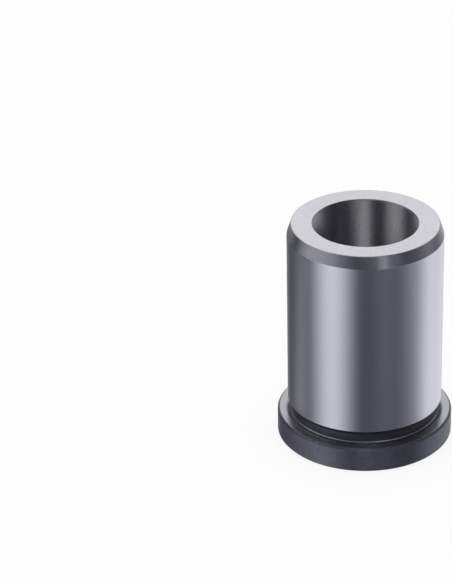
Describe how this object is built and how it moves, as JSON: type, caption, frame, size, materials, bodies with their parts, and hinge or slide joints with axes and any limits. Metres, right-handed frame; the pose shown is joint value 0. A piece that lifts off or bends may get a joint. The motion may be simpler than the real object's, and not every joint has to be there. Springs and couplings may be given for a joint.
{
  "type": "headed drill jig bushing",
  "caption": "Hardened and ground steel drill bush with a collar head, a relieved corner and a slim lead taper, pressed into a jig plate to guide a drill.",
  "frame": {"origin": "middle of the head's outer face, on the bore's axis", "axes": "+Z along the bore, from the head towards the free end of the shank; the part is round, so X and Y are free"},
  "size_m": [0.034, 0.034, 0.045],
  "materials": {
    "ground_steel": "hardened, fine ground shank and bore, satin ends, darker turned head and relief"
  },
  "bodies": {
    "root": {"bushing": "ground_steel"}
  },
  "joints": []
}
